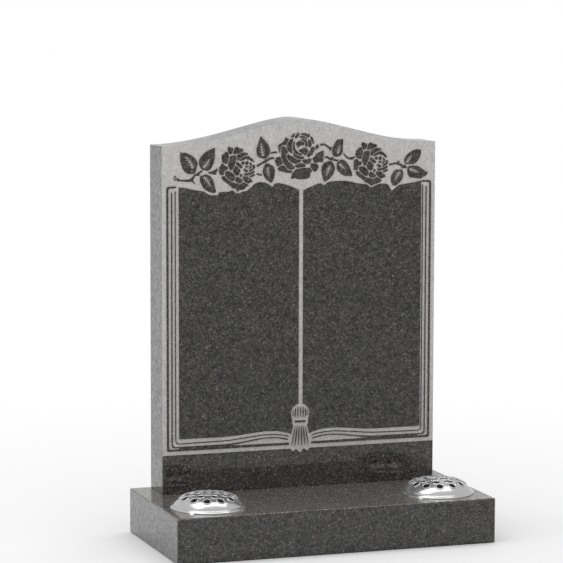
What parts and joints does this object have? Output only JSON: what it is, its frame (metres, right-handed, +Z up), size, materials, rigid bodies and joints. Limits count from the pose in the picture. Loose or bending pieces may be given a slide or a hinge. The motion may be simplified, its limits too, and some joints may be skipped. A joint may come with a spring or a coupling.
{
  "type": "open book headstone",
  "caption": "Granite memorial tablet carved with an open book, roses and a tasselled cord, on a base with perforated-lid flower pots.",
  "frame": {"origin": "middle of the base's underside", "axes": "+Z up; the carved face looks along -Y; +X is to the right as seen from the front"},
  "size_m": [0.61, 0.305, 0.7723],
  "materials": {
    "granite_tablet": "polished dark grey granite, sandblasted pale grey in the carved field",
    "granite_base": "polished dark grey granite",
    "pot_metal": "plain spun sheet",
    "chromed_metal": "mirror bright"
  },
  "bodies": {
    "root": {"headstone": "granite_tablet", "base": "granite_base", "flower_pot_left": "pot_metal", "flower_pot_right": "pot_metal", "flower_lid_left": "chromed_metal", "flower_lid_right": "chromed_metal"}
  },
  "joints": []
}
